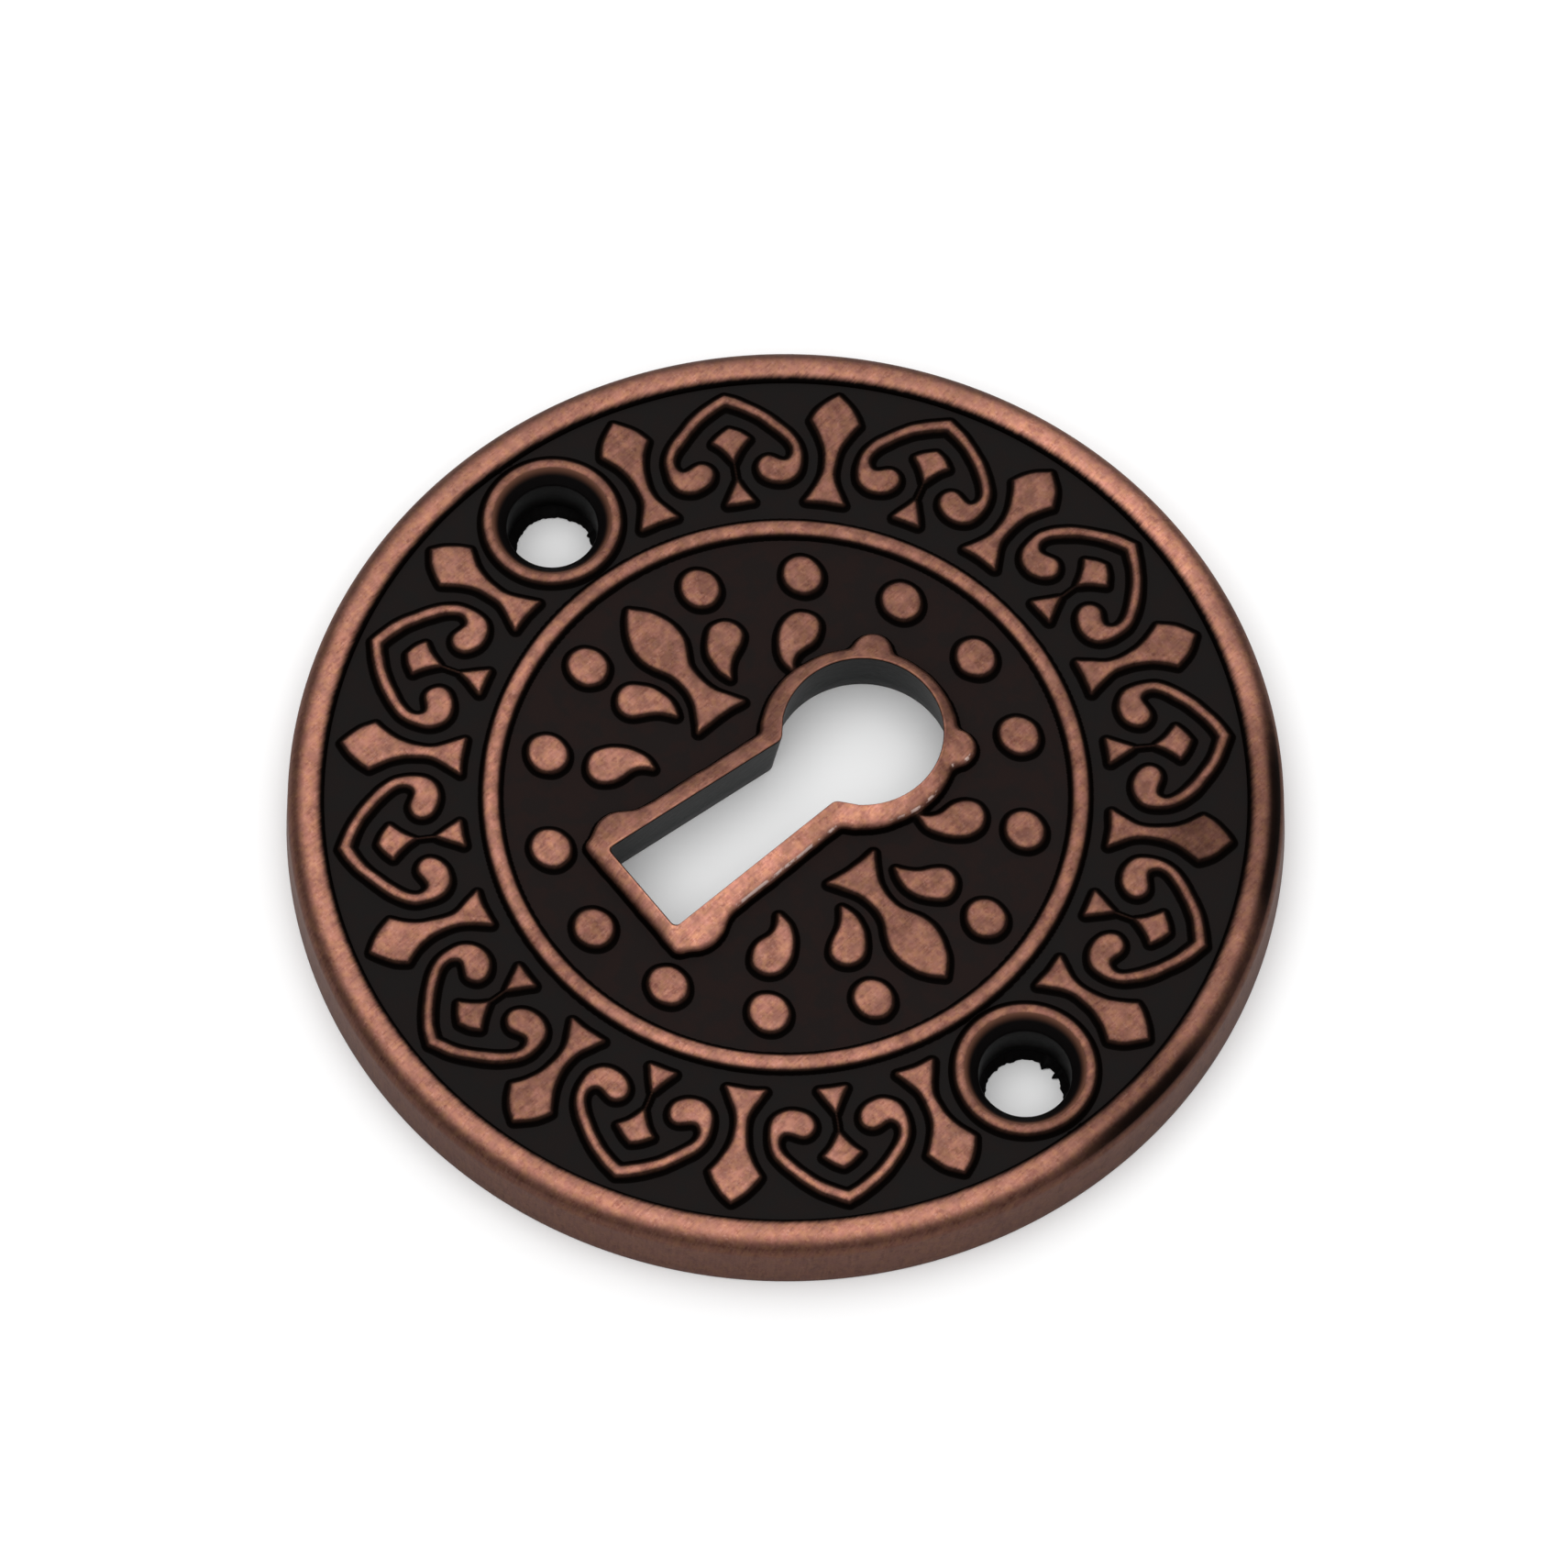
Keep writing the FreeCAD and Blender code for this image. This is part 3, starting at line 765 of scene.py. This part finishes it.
def wear_and_light_level(tree, at):
    """How bright the rubbed copper is: patchy wear, painted highlights on two parts of the near side,
    painted shade towards the far side, a painted reflection on the keyhole's border, and dull on one stem.
    """
    # Painted highlights on two parts of the near side, and painted shade towards the far side
    right_highlight_share = toward(tree, at, RIGHT_HIGHLIGHT_BEARING, 0.80, 0.985)
    left_highlight_share = toward(tree, at, LEFT_HIGHLIGHT_BEARING, 0.72, 0.985)
    level = maths(tree, "MULTIPLY_ADD", right_highlight_share, 0.50, adjusted(tree, left_highlight_share, 0.46, -0.01))
    level = maths(tree, "MULTIPLY_ADD", toward(tree, at, FAR_SHADE_BEARING, 0.45, 0.9), -0.03, level)
    level = maths(tree, "MULTIPLY_ADD", level, adjusted(tree, at.on_rim, -0.72, 1.0), 1.0)

    # Painted reflection: the border brightens towards the near right and darkens towards the slot's bottom
    across_border = distance_along(tree, at.place, BORDER_HIGHLIGHT_BEARING)
    border_highlight_level = span(tree, across_border, -2.5, 5.5, 0.60, 1.48)
    border_highlight_level = product(tree, border_highlight_level, span(tree, at.y, -8.2, -6.4, 0.8, 1.0))
    on_border = span(tree, at.z, 3.5, 3.6)
    level = maths(tree, "MULTIPLY_ADD", on_border, maths(tree, "SUBTRACT", border_highlight_level, level), level)

    to_stem = add(tree, "ShaderNodeVectorMath", {0: at.place, 1: DULL_STEM}, operation="DISTANCE")
    stem_level = span(tree, to_stem.outputs["Value"], 1.3, 2.8, 0.46, 1.0)
    patches = span(tree, noise(tree, at.place, 1.1, 2.0), 0.36, 0.64, -0.19, 0.19)
    patches = product(tree, patches, adjusted(tree, at.on_rim, -0.45, 1.0), span(tree, at.z, 2.7, 3.3))
    return product(tree, level, stem_level, maths(tree, "ADD", patches, 1.0))


def chips_and_highlight(tree, at):
    """Bright nicks and a painted highlight along the border's right shoulder."""
    broken = span(tree, noise(tree, at.place, 2.0), 0.43, 0.55)
    faces_right = product(tree, span(tree, at.normal_x, 0.40, 0.47),
                          span(tree, maths(tree, "ABSOLUTE", at.normal_y), 0.13, 0.22, 1.0, 0.0))
    at_shoulder = product(tree, span(tree, at.height, 3.58, 3.62),
                          span(tree, at.height, 3.70, 3.75, 1.0, 0.0))
    return product(tree, broken, faces_right, at_shoulder, span(tree, at.y, -6.2, -5.8))


def dark_finish(tree, at):
    """The unrubbed finish of the fields and the side, blackest along the foot of each raised shape from
    black patina and painted shade.
    """
    colour = mixed_colour(tree, span(tree, at.radius, 14.5, 14.9), INNER_FIELD, BAND_FIELD)
    colour = mixed_colour(tree, span(tree, at.cloud, 0.42, 0.58, 0.0, 0.4), colour, FIELD_CLOUD)
    colour = mixed_colour(tree, span(tree, at.radius, 24.0, 24.4), colour, SIDE_BROWN)
    # Black patina and painted shade along the foot of each raised shape
    colour = mixed_colour(tree, span(tree, at.z, 3.106, 3.128), colour, FOOT_PATINA_AND_SHADE)
    return surface(tree, colour, 0.5, 0.02, 0.0, bumps(tree, at.grain, 0.25, 0.00005))


def antique_copper():
    """Rubbed copper on the high places, most of all on the edges, and a dark finish in the sunk ones."""
    material, tree = new_material("antique_copper")
    at = surface_facts(tree)
    ring_cover = product(tree, span(tree, at.height, 3.34, 3.48), at.near_ring)
    rubbed = highest(tree, relief_cover(tree, at), ring_cover, rim_cover(tree, at))
    colour = scaled(tree, brushed_copper(tree, at), polish_and_highlight(tree, at))
    # Patchy wear, with painted highlights, painted shade and a painted reflection by compass direction
    colour = scaled(tree, colour, wear_and_light_level(tree, at))
    # Bright nicks and a painted highlight on the border's right shoulder
    colour = mixed_colour(tree, chips_and_highlight(tree, at), colour, CHIP_AND_GLINT_COLOUR)
    copper = surface(tree, colour, 0.44, 0.5, 1.0, bumps(tree, at.lines, 0.3, 0.00004))
    both = add(tree, "ShaderNodeMixShader", {0: rubbed, 1: dark_finish(tree, at), 2: copper})
    add(tree, "ShaderNodeOutputMaterial", {0: both.outputs[0]})
    return material


def dark_wall(name, top_colour, colour, roughness, specular, mouth=None):
    """An unrubbed wall: one colour below the face, another further down, and a third at the mouth."""
    material, tree = new_material(name)
    place = place_mm(tree)
    grain = noise(tree, place, 2.2)
    height = add(tree, "ShaderNodeSeparateXYZ", {0: place}).outputs[2]
    lighter = tuple(c * 1.6 for c in colour)
    shade = mixed_colour(tree, span(tree, grain, 0.3, 0.7), colour, lighter)
    shade = mixed_colour(tree, span(tree, height, 1.6, 3.8), shade, top_colour)
    if mouth:
        shade = mixed_colour(tree, span(tree, height, 3.1, 3.48), shade, mouth)
    wall = surface(tree, shade, roughness, specular, 0.0, bumps(tree, grain, 0.3, 0.00006))
    add(tree, "ShaderNodeOutputMaterial", {0: wall})
    return material


def stage_material():
    material, tree = new_material("pale_floor")
    paint = add(tree, "ShaderNodeBsdfDiffuse", {"Color": FLOOR_WHITE})
    add(tree, "ShaderNodeOutputMaterial", {0: paint.outputs[0]})
    return material


def area_light(name, place, size, power):
    """A square lamp that looks at the middle of the plate."""
    data = bpy.data.lights.new(name, "AREA")
    data.shape = "SQUARE"
    data.size = size
    data.energy = power
    obj = bpy.data.objects.new(name, data)
    bpy.context.scene.collection.objects.link(obj)
    obj.location = place
    obj.rotation_euler = (-Vector(place)).to_track_quat("-Z", "Y").to_euler()


def surroundings():
    """Soft light from above and less from the horizon, which the camera sees as white."""
    world = bpy.data.worlds.new("studio")
    bpy.context.scene.world = world
    world.use_nodes = True
    tree = world.node_tree
    tree.nodes.clear()
    path = add(tree, "ShaderNodeLightPath")
    direction = add(tree, "ShaderNodeTexCoord").outputs["Generated"]
    up = add(tree, "ShaderNodeSeparateXYZ", {0: direction}).outputs[2]
    glow = mixed_colour(tree, span(tree, up, -0.05, 0.75), HORIZON_GLOW, ZENITH_GLOW)
    a, b = math.radians(BACKDROP_DIRECTION), math.radians(BACKDROP_HEIGHT)
    middle = (math.cos(a) * math.cos(b), math.sin(a) * math.cos(b), math.sin(b))
    toward_backdrop = add(tree, "ShaderNodeVectorMath", {0: direction, 1: middle}, operation="DOT_PRODUCT")
    backdrop = span(tree, toward_backdrop.outputs["Value"], 0.55, 0.95)
    glow = mixed_colour(tree, backdrop, glow, BACKDROP_GLOW)
    soft = add(tree, "ShaderNodeBackground", {0: glow, 1: SURROUNDINGS_STRENGTH})
    white = add(tree, "ShaderNodeBackground", {0: (1, 1, 1, 1), 1: 1.0})
    both = add(tree, "ShaderNodeMixShader", {0: path.outputs["Is Camera Ray"], 1: soft.outputs[0],
                                             2: white.outputs[0]})
    add(tree, "ShaderNodeOutputWorld", {0: both.outputs[0]})


def plan(direction, distance, height):
    """A place by its compass direction in the plate's plane, in degrees from +X."""
    a = math.radians(direction)
    return (distance * math.cos(a), distance * math.sin(a), height)


def camera():
    data = bpy.data.cameras.new("camera")
    obj = bpy.data.objects.new("camera", data)
    bpy.context.scene.collection.objects.link(obj)
    tilt = math.radians(CAMERA_TILT)
    aim = Vector((0, 0, TOP_Z * MM))
    reach = CAMERA_DISTANCE * math.sin(tilt)
    obj.location = Vector(plan(CAMERA_DIRECTION, reach, aim.z + CAMERA_DISTANCE * math.cos(tilt)))
    level = (obj.location - aim).to_track_quat("Z", "Y")
    obj.rotation_euler = (level @ Quaternion((0, 0, 1), math.radians(CAMERA_ROLL))).to_euler()
    data.lens = CAMERA_LENS
    data.sensor_width = 36
    data.shift_x, data.shift_y = CAMERA_SHIFT
    data.clip_start = 0.01
    data.clip_end = 20
    bpy.context.scene.camera = obj


copper = antique_copper()
bore_black = dark_wall("bore_black", BORE_TOP, BORE_DEEP, 0.45, 0.04, mouth=BORE_MOUTH)
wall_grey = dark_wall("cut_wall_grey", WALL_TOP, WALL_DEEP, 0.4, 0.05)
back_dark = dark_wall("back_dark", BACK_BROWN, BACK_BROWN, 0.5, 0.1)
pieces = face_pieces(copper)
pieces.append(rim(copper))
for side, x, flash in (("right", SCREW_X, FLASH_RIGHT), ("left", -SCREW_X, FLASH_LEFT)):
    pieces.append(turned("screw_ring_" + side, SCREW_RING_PROFILE, copper, x, SCREW_COUNT))
    pieces.append(turned("screw_bore_" + side, SCREW_BORE_PROFILE, bore_black, x, SCREW_COUNT))
    pieces.append(casting_flash("casting_flash_" + side, x, flash, bore_black))
pieces.append(keyhole_edge(copper))
pieces.append(keyhole_wall(wall_grey))
pieces.append(back_face(back_dark))
for piece in pieces:
    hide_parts("escutcheon")
    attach(piece, "root")

corners = [(sx * FLOOR_HALF, sy * FLOOR_HALF, FLOOR_Z) for sx, sy in ((-1, -1), (1, -1), (1, 1), (-1, 1))]
floor = mesh_object("floor", corners, [(0, 1, 2, 3)], stage_material())
surroundings()
area_light("overhead", plan(LAMP_DIRECTION, LAMP_REACH, LAMP_HEIGHT), LAMP_SIZE, LAMP_POWER)
camera()
bpy.context.scene.view_settings.view_transform = "Standard"
